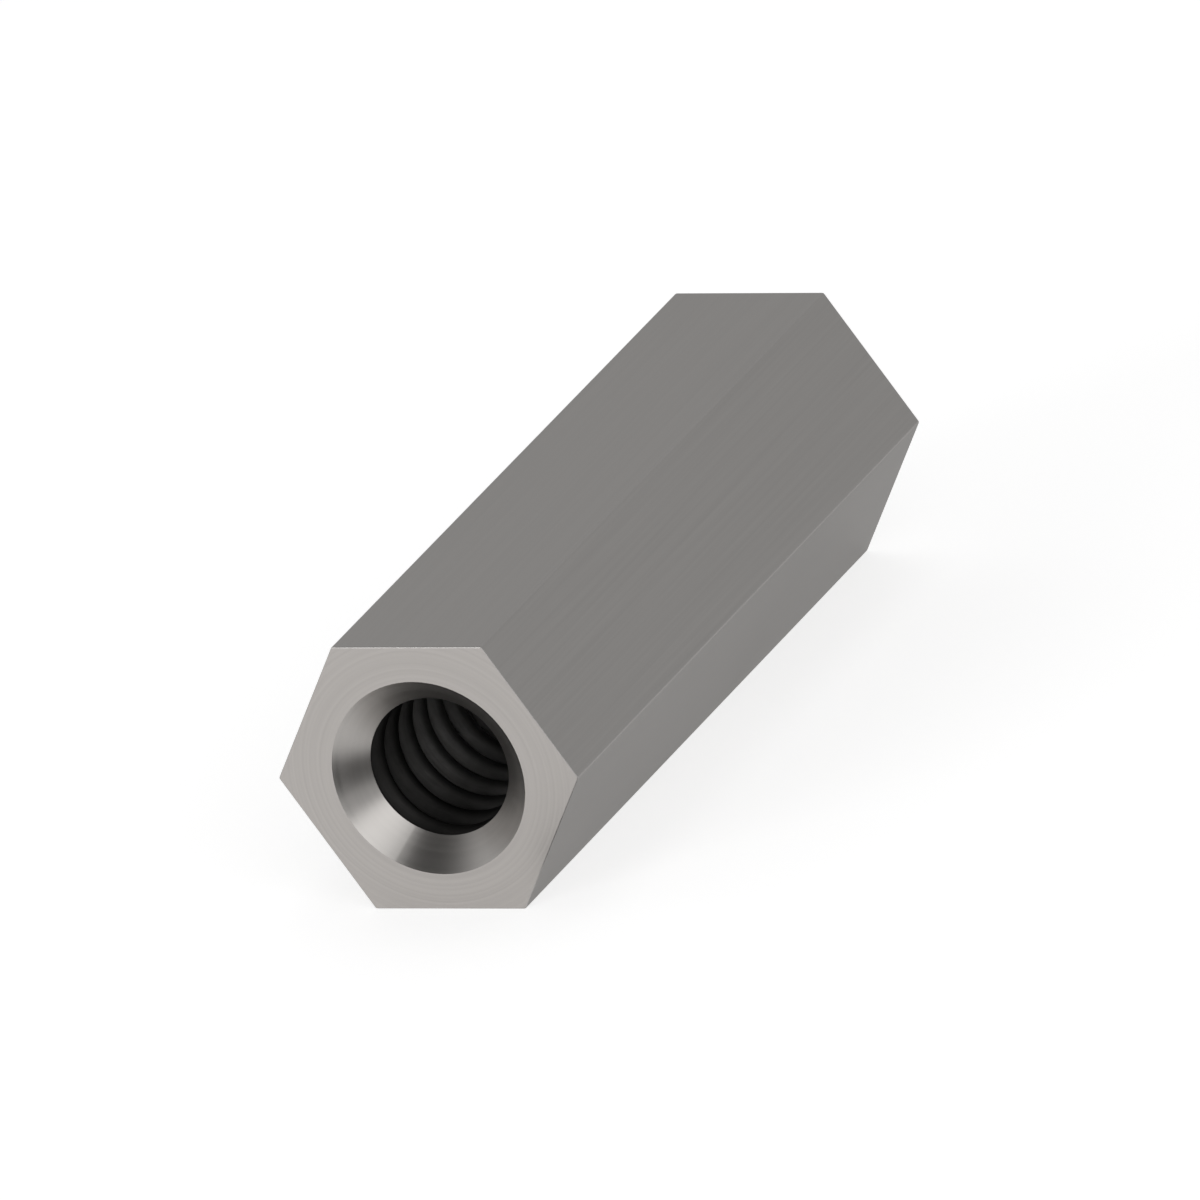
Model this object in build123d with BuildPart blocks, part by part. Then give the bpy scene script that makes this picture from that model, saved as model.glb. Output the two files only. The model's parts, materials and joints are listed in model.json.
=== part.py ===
"""Hex spacer with a tapped hole right through it, turned in one piece from hexagonal bar.

The spacer lies on one of its flats, the way it comes to rest on a bench: Z points up, Y runs along
the hole, and the near end faces -Y, so two of the hexagon's corners point along +X and -X.
The origin is on the hole's axis, half way along. Lengths are in millimetres, angles in degrees.
"""

import os

from build123d import *

# The bar
across_flats = 9.525  # three-eighths of an inch, the size of its spanner
length = 31.2  # from end face to end face
edge_break = 0.03  # the burr taken off every outer edge

# The tapped hole
thread_diameter = 6.35  # a quarter of an inch, across the roots of the thread
bore_diameter = 5.0  # across the crests, the drilled hole that the thread is cut in
countersink_angle = 90
countersink_margin = 0.325  # how far the countersink's rim stands outside the roots

# The tap starts inside the countersink, so the countersink follows the thread's outer diameter.
countersink_diameter = thread_diameter + 2 * countersink_margin

with BuildPart() as hex_spacer:
    # The bar is drawn out to both sides of its middle, with a flat underneath and one on top.
    with BuildSketch(Plane.XZ):
        RegularPolygon(radius=across_flats / 2, side_count=6, major_radius=False)
    extrude(amount=length / 2, both=True)
    chamfer(hex_spacer.edges(), length=edge_break)

    # The hole goes right through. Both ends are finished alike, so either can take the screw.
    with Locations(hex_spacer.faces().filter_by(Axis.Y)):
        CounterSinkHole(
            radius=bore_diameter / 2,
            counter_sink_radius=countersink_diameter / 2,
            depth=length,
            counter_sink_angle=countersink_angle,
        )

hex_spacer.part.label = "hex_spacer"

os.makedirs("parts", exist_ok=True)
export_step(hex_spacer.part, "parts/hex_spacer.step")
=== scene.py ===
# %% [markdown]
# # A hex spacer, dressed for its picture
#
# The object is one piece of bare steel: a length of hexagonal bar with a tapped hole through it and
# a countersink at each end. Its solid comes from the CAD part, already in place and at its real size.
# The solid's hole is plain, so this script makes the whole skin again with the thread in it, gives each
# surface the finish that its tool left, paints shade and light into the thread's colour, and sets up
# the floor, the light and the camera.
#
# Lengths are in metres. Z points up, Y runs along the hole, and the near end faces -Y.

# %% Load the CAD part
import json
import math

import bmesh
import bpy
import numpy as np
from mathutils import Matrix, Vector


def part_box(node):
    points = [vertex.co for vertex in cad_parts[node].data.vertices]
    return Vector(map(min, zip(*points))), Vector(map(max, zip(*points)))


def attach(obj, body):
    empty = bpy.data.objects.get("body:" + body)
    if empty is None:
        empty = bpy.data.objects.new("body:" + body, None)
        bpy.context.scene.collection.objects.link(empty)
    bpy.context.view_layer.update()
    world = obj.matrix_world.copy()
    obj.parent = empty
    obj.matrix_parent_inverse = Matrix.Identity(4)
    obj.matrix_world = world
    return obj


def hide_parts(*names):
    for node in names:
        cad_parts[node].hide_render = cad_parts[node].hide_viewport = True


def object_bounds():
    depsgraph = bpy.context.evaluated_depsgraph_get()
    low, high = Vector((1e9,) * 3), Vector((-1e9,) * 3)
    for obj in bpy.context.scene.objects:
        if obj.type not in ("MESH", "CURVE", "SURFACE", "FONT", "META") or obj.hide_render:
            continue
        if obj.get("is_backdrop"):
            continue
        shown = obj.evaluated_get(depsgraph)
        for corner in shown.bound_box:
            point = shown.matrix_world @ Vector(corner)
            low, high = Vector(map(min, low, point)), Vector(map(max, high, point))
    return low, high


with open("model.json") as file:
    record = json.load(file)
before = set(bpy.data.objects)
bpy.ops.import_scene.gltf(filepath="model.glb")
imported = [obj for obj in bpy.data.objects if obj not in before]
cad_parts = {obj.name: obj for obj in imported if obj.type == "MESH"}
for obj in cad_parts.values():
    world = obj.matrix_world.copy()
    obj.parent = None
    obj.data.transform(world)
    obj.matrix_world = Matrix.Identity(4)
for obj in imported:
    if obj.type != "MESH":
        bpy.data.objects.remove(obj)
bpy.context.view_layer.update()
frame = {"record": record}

MM = 0.001

# %% [markdown]
# ## Sizes
#
# The skin has to fit the solid to a hair, so its sizes are read from the solid: the bar's length and
# width from the node's box, and the hole from the mount that describes it. The mount's length is the
# stretch between the two countersinks, and their walls lie at 45 degrees, so a countersink widens by
# as much as it is deep. The thread is not in the solid, so its own sizes are written here, and so is the
# tiny round of the outer edges.
#
# The die that the bar was drawn through leaves its corners a little round. How round follows from the
# box too: a sharp corner would reach out to half the width divided by the cosine of 30 degrees, and
# an arc between the same two flats falls short of that by its radius times (1 / cos 30 - 1).

# %% Sizes of the bar, the hole and the thread
low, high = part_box("hex_spacer")
length = high.y - low.y
across_flats = high.z - low.z
hole = next(m for m in frame["record"]["mounts"] if m["name"] == "tapped_hole")["dims"]
crest_radius = hole["r_mm"] * MM
countersink_depth = (length - hole["length_mm"] * MM) / 2
rim_radius = crest_radius + countersink_depth

pitch = 1.27 * MM  # twenty turns to the inch
root_radius = 3.175 * MM  # a quarter of an inch across the roots
edge_round = 0.03 * MM  # the burr taken off the outer edges

half_a_corner = math.radians(30)
sharp_corner = across_flats / 2 / math.cos(half_a_corner)
corner_round = (sharp_corner - high.x) / (1 / math.cos(half_a_corner) - 1)

print(f"bar {across_flats / MM:.3f} across flats, {length / MM:.2f} long")
print(f"corners {corner_round / MM:.3f} round")
print(f"hole radius {crest_radius / MM:.2f}, countersink {countersink_depth / MM:.2f} deep")

# %% [markdown]
# ## Directions round the axis
#
# A spacer with a hole through it is a ring: whichever way you cut it, every surface on it can be drawn
# by going round the axis. So each surface here is a grid, with the angle round the axis in its columns
# and the way along the surface in its rows. All the grids share the same columns, so where two surfaces
# meet, their points meet too. The six corners of the bar are only a hair wide, and get a few columns of
# their own. The angle starts at +X, where a corner is, and turns towards +Z.

# %% The shared columns
CORNERS = 6
SECTOR = 2 * math.pi / CORNERS
STEPS_ACROSS_A_FLAT = 14
COLUMNS_OVER_A_CORNER = 5


def corner_arc_centre():
    """Distance from the axis to the centre of a corner's arc.

    The arc touches both flats, so its centre is one arc radius inside each of them.
    """
    return (across_flats / 2 - corner_round) / math.cos(SECTOR / 2)


def corner_half_angle():
    """Angle at the axis between a corner and the place where its arc runs into the flat."""
    along = corner_arc_centre() + corner_round * math.cos(SECTOR / 2)
    aside = corner_round * math.sin(SECTOR / 2)
    return math.atan2(aside, along)


def column_angles():
    """All the angles round the axis: two steps either side of each corner, then even steps to the next."""
    half = corner_half_angle()
    over_corner = np.linspace(-half, half, COLUMNS_OVER_A_CORNER)
    over_flat = np.linspace(half, SECTOR - half, STEPS_ACROSS_A_FLAT + 1)[1:-1]
    one_sector = np.concatenate([over_corner, over_flat])
    corners = np.arange(CORNERS) * SECTOR
    return (corners[:, None] + one_sector[None, :]).ravel()


angle = column_angles()
print(len(angle), "columns round the axis")

# %% [markdown]
# ## The bar's outline
#
# In polar form a straight side is the distance to it divided by the cosine of the angle away from its
# middle. A rounded corner is a small circle seen from the axis. The outline can be drawn a little
# inside itself too, which is how the end's edge is rounded: the outline shrinks by the height of a
# quarter circle as it nears the end.


# %% The outline in polar form
def bar_radius(inset=0.0):
    """Distance from the axis to the bar's outline in each column, with the outline moved in by inset.

    Between the corners it is (half the width - inset) / cos(angle from the flat's middle).
    Within a corner it is the far side of the corner's circle:
    centre * cos(a) + sqrt(circle^2 - centre^2 * sin(a)^2), with a the angle from the corner.
    """
    from_corner = (angle + SECTOR / 2) % SECTOR - SECTOR / 2
    flat = (across_flats / 2 - inset) / np.cos(SECTOR / 2 - np.abs(from_corner))
    centre = corner_arc_centre()
    circle = corner_round - inset
    under_root = circle**2 - (centre * np.sin(from_corner)) ** 2
    arc = centre * np.cos(from_corner) + np.sqrt(np.maximum(under_root, 0))
    touch = math.atan2(circle * math.sin(SECTOR / 2), centre + circle * math.cos(SECTOR / 2))
    return np.where(np.abs(from_corner) < touch, arc, flat)


print(f"corner to corner {2 * bar_radius().max() / MM:.3f} mm")

# %% [markdown]
# ## The near end, from the countersink out to the bar's side
#
# Four surfaces follow each other: the countersink's wall, the flat end face, the rounded edge, and
# the bar's side. Each is a function that gives two arrays, how far every point is from the axis and
# where it is along Y, with one row per step. The far end is the same four surfaces with Y turned round.


# %% Surfaces of one end
def rows_of(values):
    """One value per row, repeated over the columns."""
    return np.repeat(np.asarray(values, float)[:, None], len(angle), axis=1)


def countersink(steps=6):
    """The cone: as the radius grows from the hole to the rim, Y goes from the hole's edge to the face."""
    t = np.linspace(0, 1, steps + 1)
    radius = crest_radius + t * (rim_radius - crest_radius)
    along = -length / 2 + (1 - t) * countersink_depth
    return rows_of(radius), rows_of(along)


def end_face(steps=3):
    """The flat ring between the rim and the bar's outline: a straight blend of the two, at one Y."""
    t = np.linspace(0, 1, steps + 1)[:, None]
    radius = (1 - t) * rim_radius + t * bar_radius(edge_round)[None, :]
    return radius, np.full_like(radius, -length / 2)


def rounded_edge(steps=3):
    """A quarter circle from the end face to the side, carried round the outline."""
    t = np.linspace(0, math.pi / 2, steps + 1)
    radius = np.stack([bar_radius(edge_round * (1 - math.sin(a))) for a in t])
    return radius, rows_of(-length / 2 + edge_round * (1 - np.cos(t)))


def side():
    """The bar's outline, carried straight from one end's rounded edge to the other's."""
    radius = np.stack([bar_radius(), bar_radius()])
    return radius, rows_of([-length / 2 + edge_round, length / 2 - edge_round])


print("rows in each:", [len(surface()[0]) for surface in (countersink, end_face, rounded_edge, side)])

# %% [markdown]
# ## The thread
#
# A screw thread is one groove that climbs by a pitch in every turn. If the grid's rows were level
# rings, the crests would cut across them and look jagged. So the rows climb with the thread: each row
# keeps its own place on the groove's profile, all the way through the hole. Where a row would run out
# past the hole's end it is held at the end, and the points that pile up there are merged later.
#
# The thread is right-handed. Seen from the near end, going on anticlockwise brings the groove nearer,
# so Y falls as the angle grows. After a full turn each row has come down by one pitch, and joins the
# row that started a pitch below it.

# %% The thread's profile
ROWS_PER_TURN = 24
crest_width = 0.35 * pitch  # of the level land on a crest, before it is softened
flank_slope = math.tan(math.radians(60))  # each flank leans 30 degrees from square to the axis
crest_softness = 0.38 * MM  # over how much depth a crest's edges are rounded
root_softness = 0.06 * MM  # and the corners of a root
run_in = 0.35 * MM  # the groove deepens over this length below each countersink
crest_angle = math.radians(221)  # at this angle, a crest's middle
crest_depth = 1.05 * MM  # lies this far below the near countersink


def rounded_greater(a, b, softness):
    """The greater of a and b, with the corner between them rounded: (a + b + sqrt((a - b)^2 + s^2)) / 2."""
    return (a + b + np.sqrt((a - b) ** 2 + softness**2)) / 2


def profile(from_crest):
    """Depth at a distance from a crest's middle, where the softening still costs a little of it.

    A flank starts at the crest's edge and sinks at 60 degrees until it reaches the root.
    """
    full_depth = root_radius - crest_radius
    sunk = rounded_greater((from_crest - crest_width / 2) * flank_slope, 0, crest_softness)
    return full_depth - rounded_greater(full_depth - sunk, 0, root_softness)


def groove_depth(turns):
    """Depth of the groove, with turns the number of pitches from a crest's middle.

    It is the profile, stretched so that it goes from nothing at the crest to full depth at the root.
    """
    from_crest = np.abs(turns - np.round(turns)) * pitch
    top = profile(0)
    bottom = profile(pitch / 2)
    return (profile(from_crest) - top) / (bottom - top) * (root_radius - crest_radius)


def threaded_wall():
    """The hole's wall between the countersinks: the crest radius plus the groove's depth.

    A row that starts at y0 lies at y0 - pitch * angle / (2 pi), held between the hole's two ends.
    """
    front = -length / 2 + countersink_depth
    crest_start = front + crest_depth + pitch * crest_angle / (2 * math.pi)
    start = crest_start - pitch * math.ceil((crest_start - front) / pitch)
    turns_needed = math.ceil((-front - start) / pitch) + 1
    steps = np.arange(turns_needed * ROWS_PER_TURN + 1) / ROWS_PER_TURN
    along = start + pitch * steps[:, None] - pitch * angle[None, :] / (2 * math.pi)
    along = np.clip(along, front, -front)
    turns = (along - crest_start) / pitch + angle[None, :] / (2 * math.pi)
    from_an_end = np.minimum(along - front, -front - along)
    t = np.clip(from_an_end / run_in, 0, 1)
    fade = t * t * (3 - 2 * t)
    return crest_radius + groove_depth(turns) * fade, along


wall_radius, wall_along = threaded_wall()
print("thread:", wall_radius.shape[0], "rows,", round(wall_radius.max() / MM, 3), "mm to the root")

# %% [markdown]
# ## One closed skin
#
# Each grid becomes a band of four-sided faces, closed round the axis. The bands meet point to point,
# so merging points that coincide turns them into one closed skin, and drops the empty faces that the
# thread's held rows left. The bar and its ends are shaded flat, and the countersinks and the thread
# smooth, with a sharp line where two finishes meet.

# %% Bands to mesh
DRAWN, TURNED, SUNK, TAPPED = range(4)
bands = []


def add_band(surface, finish, climb=0):
    """Keeps a grid of (radius, along) with its finish. climb is how many rows lower it meets itself."""
    bands.append((*surface, finish, climb))


def mirrored(surface):
    """The same surface at the other end."""
    radius, along = surface
    return radius, -along


for turn_round in (lambda surface: surface, mirrored):
    add_band(turn_round(countersink()), SUNK)
    add_band(turn_round(end_face()), TURNED)
    add_band(turn_round(rounded_edge()), DRAWN)
add_band(side(), DRAWN)
add_band((wall_radius, wall_along), TAPPED, climb=ROWS_PER_TURN)


def band_faces(rows, climb):
    """Corners of a band's faces, as row and column numbers turned into point numbers."""
    columns = len(angle)
    row = np.arange(rows - 1)[:, None]
    column = np.arange(columns)[None, :]
    last = column == columns - 1
    down = np.where(last, climb, 0)
    beside = np.where(last, 0, column + 1)
    below_beside = np.clip(row - down, 0, rows - 1)
    above_beside = np.clip(row + 1 - down, 0, rows - 1)
    corners = [
        row * columns + column,
        below_beside * columns + beside,
        above_beside * columns + beside,
        (row + 1) * columns + column,
    ]
    return np.stack([np.broadcast_to(c, (rows - 1, columns)) for c in corners], -1).reshape(-1, 4)


def spacer_mesh():
    """All bands in one mesh. Each still has points of its own where it meets the next."""
    points, faces, finishes = [], [], []
    count = 0
    for radius, along, finish, climb in bands:
        points.append(
            np.stack([radius * np.cos(angle), along, radius * np.sin(angle)], -1).reshape(-1, 3)
        )
        faces.append(band_faces(radius.shape[0], climb) + count)
        finishes.append(np.full(len(faces[-1]), finish))
        count += radius.size
    mesh = bpy.data.meshes.new("hex_spacer_skin")
    mesh.from_pydata(np.concatenate(points), [], np.concatenate(faces))
    finish = np.concatenate(finishes)
    mesh.polygons.foreach_set("material_index", finish)
    mesh.polygons.foreach_set("use_smooth", np.isin(finish, [SUNK, TAPPED]))
    return mesh


def close_skin(mesh, reach=1e-7):
    """Merges points closer than reach, turns the faces outwards and marks the lines between finishes."""
    skin = bmesh.new()
    skin.from_mesh(mesh)
    bmesh.ops.remove_doubles(skin, verts=skin.verts, dist=reach)
    bmesh.ops.recalc_face_normals(skin, faces=skin.faces)
    for edge in skin.edges:
        edge.smooth = len({face.material_index for face in edge.link_faces}) == 1
    open_edges = sum(len(edge.link_faces) != 2 for edge in skin.edges)
    volume = skin.calc_volume(signed=True)
    skin.to_mesh(mesh)
    skin.free()
    print(f"{len(mesh.polygons)} faces, {open_edges} open edges, volume {volume / MM**3:.0f} mm3")
    return mesh


spacer = bpy.data.objects.new("spacer", close_skin(spacer_mesh()))
bpy.context.scene.collection.objects.link(spacer)

# %% [markdown]
# ## The steel
#
# The whole spacer is one bare steel, and what tells its surfaces apart is how each was made. The bar
# was drawn through a die, which leaves fine lines along it. The ends and the countersinks were turned,
# which leaves fine rings round the axis. The thread was cut with a tap, and is the roughest.
#
# A picture of scratched metal could be wrapped round the piece. Noise is used here, because it needs no
# picture and has no seam: stretched along the tool's path, it gives lines or rings as fine as you like.
# All four finishes are the same metal shader. They differ in a little variation of colour, in
# roughness and in a very shallow bump, and marks of this kind drive all three.

# %% A bare metal
def steel(name, edge_tint):
    """A bare metal, added to the spacer: its node tree, its shader and the piece's own coordinates.

    edge_tint is what is left of the mirror-like shine that a polished metal has at a grazing angle.
    """
    material = bpy.data.materials.new(name)
    material.use_nodes = True
    spacer.data.materials.append(material)
    tree = material.node_tree
    shader = tree.nodes["Principled BSDF"]
    shader.inputs["Metallic"].default_value = 1
    shader.inputs["Specular Tint"].default_value = (edge_tint, edge_tint, edge_tint, 1)
    coordinates = tree.nodes.new("ShaderNodeTexCoord")
    return tree, shader, coordinates.outputs["Object"]


# %% Marks, and the way they run
def marks(tree, place, size, detail):
    """Noise from 0 to 1. Its marks are as long as size says, in metres, along the three axes of place."""
    stretch = tree.nodes.new("ShaderNodeMapping")
    stretch.inputs["Scale"].default_value = [1 / s for s in size]
    tree.links.new(place, stretch.inputs["Vector"])
    noise = tree.nodes.new("ShaderNodeTexNoise")
    noise.inputs["Scale"].default_value = 1
    noise.inputs["Detail"].default_value = detail
    tree.links.new(stretch.outputs["Vector"], noise.inputs["Vector"])
    return noise.outputs[0]


def from_the_axis(tree, place):
    """Coordinates that follow a lathe: distance from the Y axis, then y, then z."""
    across = tree.nodes.new("ShaderNodeVectorMath")
    across.operation = "MULTIPLY"
    across.inputs[1].default_value = (1, 0, 1)
    tree.links.new(place, across.inputs[0])
    distance = tree.nodes.new("ShaderNodeVectorMath")
    distance.operation = "LENGTH"
    tree.links.new(across.outputs["Vector"], distance.inputs[0])
    split = tree.nodes.new("ShaderNodeSeparateXYZ")
    tree.links.new(place, split.inputs[0])
    joined = tree.nodes.new("ShaderNodeCombineXYZ")
    tree.links.new(distance.outputs["Value"], joined.inputs["X"])
    tree.links.new(split.outputs["Y"], joined.inputs["Y"])
    tree.links.new(split.outputs["Z"], joined.inputs["Z"])
    return joined.outputs["Vector"]


# %% What the marks change
# A Mix node has sockets for every kind of value, and these are its colours A, B and result.
MIX_A, MIX_B, MIX_RESULT = 6, 7, 2


def blend(tree, factor, first, second):
    """A colour between two others, which are colours or outputs of other nodes."""
    mix = tree.nodes.new("ShaderNodeMix")
    mix.data_type = "RGBA"
    tree.links.new(factor, mix.inputs["Factor"])
    for number, colour in ((MIX_A, first), (MIX_B, second)):
        if isinstance(colour, tuple):
            mix.inputs[number].default_value = (*colour, 1)
        else:
            tree.links.new(colour, mix.inputs[number])
    return mix.outputs[MIX_RESULT]


def varied(tree, mark, colour, spread):
    """A colour that the mark makes darker or lighter, by up to spread either way."""
    darker, lighter = (tuple(c * share for c in colour) for share in (1 - spread, 1 + spread))
    return blend(tree, mark, darker, lighter)


def colour_by(tree, shader, mark, colour, spread):
    """Base colour: the colour, varied by the mark."""
    tree.links.new(varied(tree, mark, colour, spread), shader.inputs["Base Color"])


def roughness_by(tree, shader, mark, smooth, rough):
    """Roughness: smooth where the mark is low, rough where it is high."""
    span = tree.nodes.new("ShaderNodeMapRange")
    span.inputs["To Min"].default_value = smooth
    span.inputs["To Max"].default_value = rough
    tree.links.new(mark, span.inputs["Value"])
    tree.links.new(span.outputs["Result"], shader.inputs["Roughness"])


def bump_by(tree, shader, mark, depth):
    """Bump: the mark stands for a height from 0 to depth, in metres."""
    bump = tree.nodes.new("ShaderNodeBump")
    bump.inputs["Strength"].default_value = 1
    bump.inputs["Distance"].default_value = depth
    tree.links.new(mark, bump.inputs["Height"])
    tree.links.new(bump.outputs["Normal"], shader.inputs["Normal"])


# %% [markdown]
# ## The outside
#
# Each finish gives the size of its marks in three directions. On the bar they are a tenth of a
# millimetre wide and many millimetres long. On the ends and the countersinks the first direction is the
# distance from the axis, so that marks which are short in it, and long in the others, close into rings.
# The countersinks are the smoothest. Their walls show the room bent round a cone, and a bump as deep as
# the others' would break that picture up, so theirs is a tenth of it.

# %% Drawn, turned and countersunk steel
UM = 0.001 * MM
DRAWN_COLOUR = (0.381, 0.369, 0.358)
TURNED_COLOUR = (0.391, 0.371, 0.355)
SUNK_COLOUR = (0.461, 0.443, 0.426)


def drawn_finish():
    """Fine lines along the bar, a tenth of a millimetre wide and some millimetres long."""
    tree, shader, place = steel("drawn_steel", edge_tint=0.51)
    lines = marks(tree, place, (0.10 * MM, 12 * MM, 0.10 * MM), detail=3)
    colour_by(tree, shader, lines, DRAWN_COLOUR, spread=0.10)
    roughness_by(tree, shader, lines, smooth=0.30, rough=0.46)
    bump_by(tree, shader, lines, depth=3.0 * UM)


def turned_finish():
    """Rings round the axis, as the parting tool leaves them on the end faces."""
    tree, shader, place = steel("turned_steel", edge_tint=1)
    rings = marks(tree, from_the_axis(tree, place), (0.09 * MM, 5 * MM, 9 * MM), detail=2)
    colour_by(tree, shader, rings, TURNED_COLOUR, spread=0.10)
    roughness_by(tree, shader, rings, smooth=0.26, rough=0.38)
    bump_by(tree, shader, rings, depth=3.0 * UM)


def sunk_finish():
    """Faint rings on the countersinks, whose cutter turns in its own seat and cuts smoother."""
    tree, shader, place = steel("countersunk_steel", edge_tint=1)
    rings = marks(tree, from_the_axis(tree, place), (0.15 * MM, 0.15 * MM, 9 * MM), detail=0)
    colour_by(tree, shader, rings, SUNK_COLOUR, spread=0.06)
    roughness_by(tree, shader, rings, smooth=0.27, rough=0.33)
    bump_by(tree, shader, rings, depth=0.3 * UM)


drawn_finish()
turned_finish()
sunk_finish()
print("outer finishes:", spacer.data.materials.keys())

# %% [markdown]
# ## Inside the thread
#
# The thread's colour holds painted shade and painted light. It is darkest at its mouths, a painted
# shade that makes the hole dark. Further down less and less light arrives. With one colour all the way, the
# thread would be bright at the mouth and lost in the dark below. So the steel's colour starts dark and
# grows lighter with the depth, a painted light, and the thread can be followed down the hole.

# %% Tapped steel
# Painted shade at the thread's mouths, and painted light that lifts the colour with the depth.
MOUTH_PAINTED_SHADE = (0.032, 0.031, 0.030)
DEEP_PAINTED_LIGHT = (0.23, 0.224, 0.218)
MOUTH_REACH = 2.6 * MM  # the colour of the mouth holds down to this depth
DEEP_START = 8.0 * MM  # and the deep colour from this depth on


def how_deep(tree, place, mouth, deep):
    """0 up to the depth mouth below each countersink, 1 from the depth deep on: a ramp along |y|."""
    split = tree.nodes.new("ShaderNodeSeparateXYZ")
    tree.links.new(place, split.inputs[0])
    from_middle = tree.nodes.new("ShaderNodeMath")
    from_middle.operation = "ABSOLUTE"
    tree.links.new(split.outputs["Y"], from_middle.inputs[0])
    ramp = tree.nodes.new("ShaderNodeMapRange")
    ramp.inputs["From Min"].default_value = length / 2 - countersink_depth - mouth
    ramp.inputs["From Max"].default_value = length / 2 - countersink_depth - deep
    tree.links.new(from_middle.outputs[0], ramp.inputs["Value"])
    return ramp.outputs["Result"]


def tapped_finish():
    """Painted shade at the thread's mouths, painted light further in, and marks that run with the cut."""
    tree, shader, place = steel("tapped_steel", edge_tint=0.4)
    stains = marks(tree, place, (0.5 * MM, 0.5 * MM, 0.5 * MM), detail=3)
    cuts = marks(tree, from_the_axis(tree, place), (0.06 * MM, 0.06 * MM, 1.5 * MM), detail=2)
    mouth = varied(tree, stains, MOUTH_PAINTED_SHADE, spread=0.25)
    deep = varied(tree, stains, DEEP_PAINTED_LIGHT, spread=0.25)
    depth = how_deep(tree, place, MOUTH_REACH, DEEP_START)
    # The base colour goes from painted shade at the mouths to painted light deep in the hole.
    tree.links.new(blend(tree, depth, mouth, deep), shader.inputs["Base Color"])
    roughness_by(tree, shader, cuts, smooth=0.45, rough=0.65)
    bump_by(tree, shader, cuts, depth=2.0 * UM)


tapped_finish()
print("finishes, in the order of the mesh's material numbers:", spacer.data.materials.keys())

# %% [markdown]
# ## The piece and its body
#
# Nothing on the spacer moves, so the skin belongs to the one body there is. It takes the place of the
# plain solid, which is not shown beside it.

# %% Tie the skin to the part
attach(spacer, "root")
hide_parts("hex_spacer")

# %% [markdown]
# ## Floor
#
# The floor is plain and comes out white. A white one would throw a lot of light up under the spacer, so
# its own colour is a pale grey, which is lit by the lamps and takes the spacer's shadow. What it lacks
# to white is added for the camera and for reflections.

# %% The floor
FLOOR_SIZE = 4.0
FLOOR_COLOUR = (0.62, 0.62, 0.62, 1)
FLOOR_LIFT = 0.65


def make_floor():
    """One large square at the height of the spacer's lowest point."""
    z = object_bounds()[0].z
    half = FLOOR_SIZE / 2
    corners = [(-half, -half, z), (half, -half, z), (half, half, z), (-half, half, z)]
    mesh = bpy.data.meshes.new("floor")
    mesh.from_pydata(corners, [], [(0, 1, 2, 3)])
    floor = bpy.data.objects.new("floor", mesh)
    bpy.context.scene.collection.objects.link(floor)
    return floor


def floor_material():
    """A matt pale grey, and a light of its own that only the camera and shiny or clear things see."""
    material = bpy.data.materials.new("pale_floor")
    material.use_nodes = True
    tree = material.node_tree
    shader = tree.nodes["Principled BSDF"]
    shader.inputs["Base Color"].default_value = FLOOR_COLOUR
    shader.inputs["Roughness"].default_value = 1
    shader.inputs["Specular IOR Level"].default_value = 0
    path = tree.nodes.new("ShaderNodeLightPath")
    seen = path.outputs["Is Camera Ray"]
    for ray in ("Is Glossy Ray", "Is Transmission Ray"):
        either = tree.nodes.new("ShaderNodeMath")
        either.operation = "MAXIMUM"
        tree.links.new(seen, either.inputs[0])
        tree.links.new(path.outputs[ray], either.inputs[1])
        seen = either.outputs[0]
    lift = tree.nodes.new("ShaderNodeMath")
    lift.operation = "MULTIPLY"
    lift.inputs[1].default_value = FLOOR_LIFT
    tree.links.new(seen, lift.inputs[0])
    shader.inputs["Emission Color"].default_value = (1, 1, 1, 1)
    tree.links.new(lift.outputs[0], shader.inputs["Emission Strength"])
    return material


floor = make_floor()
floor.data.materials.append(floor_material())
floor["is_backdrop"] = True
print(f"floor at {floor.data.vertices[0].co.z / MM:.2f} mm")

# %% [markdown]
# ## Light
#
# Metal shows what is round it, so the light is a room as much as a set of lamps. Lamps alone would
# leave the steel black between their reflections. The walls here are a mid grey that goes dark
# overhead. One soft box stands to the right of the camera, a smaller and stronger one low on its left,
# and one hangs above. A black card on the floor gives the countersink a dark side to set off the bright
# one, as a photographer's card does for polished things.

# %% The room
WALL_GREY = 0.627
WALL_SLOPE = (-0.183, 0.112, 0)  # lighter towards the left and the back
CEILING_GREY = 0.05
CEILING_TILT = (0, -0.2, 1)  # it comes down lower in front than at the back
CEILING_RAMP = (0.52, 0.98)  # along that tilt, the walls go dark from the first height to the second


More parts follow.
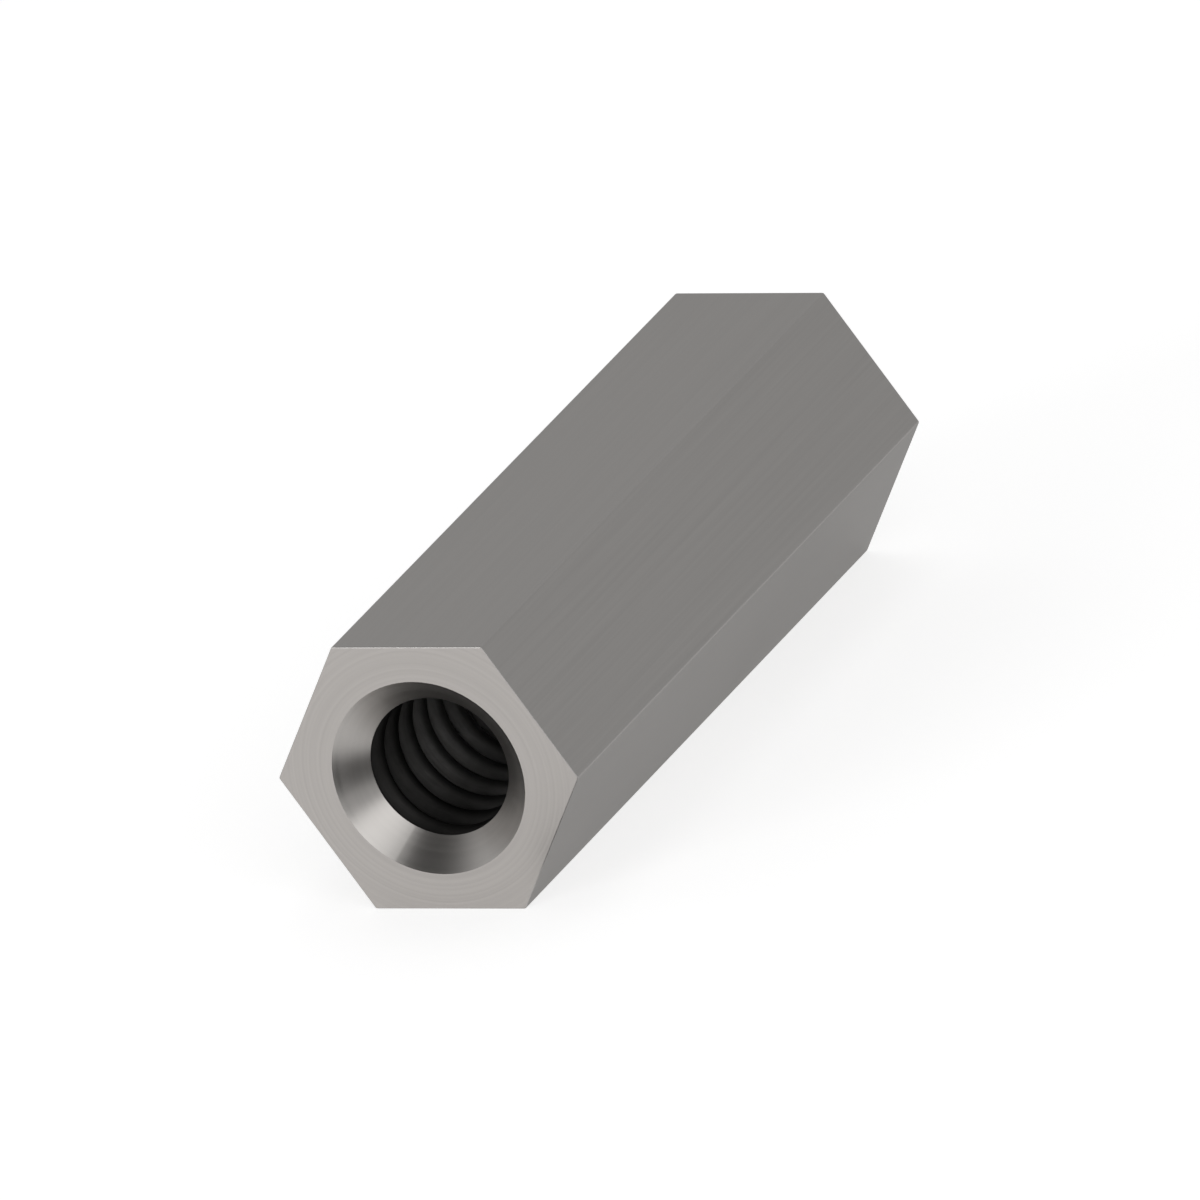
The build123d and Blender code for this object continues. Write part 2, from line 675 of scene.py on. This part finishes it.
def make_world():
    """Grey by direction: WALL_GREY plus how far the direction goes along WALL_SLOPE.

    How far it goes along CEILING_TILT turns that wall's grey into the ceiling's.
    """
    world = bpy.data.worlds.new("studio")
    bpy.context.scene.world = world
    world.use_nodes = True
    tree = world.node_tree
    background = tree.nodes["Background"]
    direction = tree.nodes.new("ShaderNodeTexCoord").outputs["Generated"]
    slope = tree.nodes.new("ShaderNodeVectorMath")
    slope.operation = "DOT_PRODUCT"
    slope.inputs[1].default_value = WALL_SLOPE
    tree.links.new(direction, slope.inputs[0])
    wall = tree.nodes.new("ShaderNodeMath")
    wall.operation = "ADD"
    wall.inputs[1].default_value = WALL_GREY
    tree.links.new(slope.outputs["Value"], wall.inputs[0])
    height = tree.nodes.new("ShaderNodeVectorMath")
    height.operation = "DOT_PRODUCT"
    height.inputs[1].default_value = CEILING_TILT
    tree.links.new(direction, height.inputs[0])
    ramp = tree.nodes.new("ShaderNodeMapRange")
    ramp.interpolation_type = "SMOOTHSTEP"
    ramp.inputs["From Min"].default_value = CEILING_RAMP[0]
    ramp.inputs["From Max"].default_value = CEILING_RAMP[1]
    ramp.inputs["To Max"].default_value = CEILING_GREY
    tree.links.new(height.outputs["Value"], ramp.inputs["Value"])
    tree.links.new(wall.outputs[0], ramp.inputs["To Min"])
    tree.links.new(ramp.outputs["Result"], background.inputs["Strength"])
    background.inputs["Color"].default_value = (1, 1, 1, 1)


make_world()
wall_change = math.hypot(*WALL_SLOPE)
print(f"walls from {WALL_GREY - wall_change:.2f} to {WALL_GREY + wall_change:.2f}")

# %% The lamps
LAMP_DISTANCE = 0.5


def soft_box(name, azimuth, elevation, size, radiance):
    """A round area lamp that faces the spacer from that direction and looks as bright as radiance.

    Azimuth 0 is in front, at -Y, and turns towards +X. Its power is radiance * pi * its area.
    """
    a, e = math.radians(azimuth), math.radians(elevation)
    turn = Matrix.Rotation(a, 4, "Z") @ Matrix.Rotation(math.pi / 2 - e, 4, "X")
    data = bpy.data.lights.new(name, "AREA")
    data.shape = "DISK"
    data.size = size
    area = math.pi * (size / 2) ** 2
    data.energy = radiance * math.pi * area
    lamp = bpy.data.objects.new(name, data)
    lamp.matrix_world = turn @ Matrix.Translation((0, 0, LAMP_DISTANCE))
    bpy.context.scene.collection.objects.link(lamp)
    print(f"{name}: {data.energy:.3f} W")


soft_box("key_box", azimuth=43, elevation=34.5, size=0.44, radiance=1.17)
soft_box("front_box", azimuth=-25, elevation=13, size=0.249, radiance=4.5)
soft_box("top_box", azimuth=180, elevation=80, size=0.268, radiance=1.09)

# %% The black card
CARD_CORNERS = [(1.5, -20.5), (5.0, -15.5), (64, -40), (55, -58)]  # x and y, in millimetres
CARD_GAP = 0.1 * MM  # between the card and the floor
CARD_COLOUR = (0.02, 0.02, 0.02, 1)


def dark_card():
    """A matt black card just over the floor, which only shiny surfaces see."""
    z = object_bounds()[0].z + CARD_GAP
    corners = [(x * MM, y * MM, z) for x, y in CARD_CORNERS]
    mesh = bpy.data.meshes.new("dark_card")
    mesh.from_pydata(corners, [], [range(len(corners))])
    card = bpy.data.objects.new("dark_card", mesh)
    bpy.context.scene.collection.objects.link(card)
    material = bpy.data.materials.new("black_card")
    material.use_nodes = True
    shader = material.node_tree.nodes["Principled BSDF"]
    shader.inputs["Base Color"].default_value = CARD_COLOUR
    shader.inputs["Roughness"].default_value = 1
    shader.inputs["Specular IOR Level"].default_value = 0
    mesh.materials.append(material)
    card.visible_camera = False
    card.visible_diffuse = False
    card.visible_shadow = False
    card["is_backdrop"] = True


dark_card()

# %% [markdown]
# ## Camera
#
# The picture has next to no perspective: lines that are parallel on the spacer stay parallel in it. A
# very long lens, far away, gives that look, and unlike an orthographic camera it still stands well
# above the floor when it is moved round the spacer to look from low down. The camera looks from the
# right and above, and it is rolled a little, so that the spacer's upright leans to the left.

# %% The camera
AZIMUTH = 25.535
ELEVATION = 20.647
ROLL = -9.64
LENS = 1500  # millimetres, on the usual sensor 36 mm wide
CAMERA_PLACE = (-0.0424 * MM, -0.0440 * MM, 1690.52 * MM)  # right, up and back from the aim


def make_camera():
    """Turned about Z by the azimuth, tipped up from straight down, then rolled about its own axis."""
    data = bpy.data.cameras.new("camera")
    data.lens = LENS
    data.clip_start = 0.1
    data.clip_end = 10
    camera = bpy.data.objects.new("camera", data)
    turn = Matrix.Rotation(math.radians(AZIMUTH), 4, "Z")
    tip = Matrix.Rotation(math.radians(90 - ELEVATION), 4, "X")
    roll = Matrix.Rotation(math.radians(ROLL), 4, "Z")
    camera.matrix_world = turn @ tip @ roll @ Matrix.Translation(CAMERA_PLACE)
    bpy.context.scene.collection.objects.link(camera)
    bpy.context.scene.camera = camera


make_camera()
bpy.context.scene.view_settings.view_transform = "Standard"
print(f"camera {CAMERA_PLACE[2]:.2f} m away, with a lens of {LENS} mm")
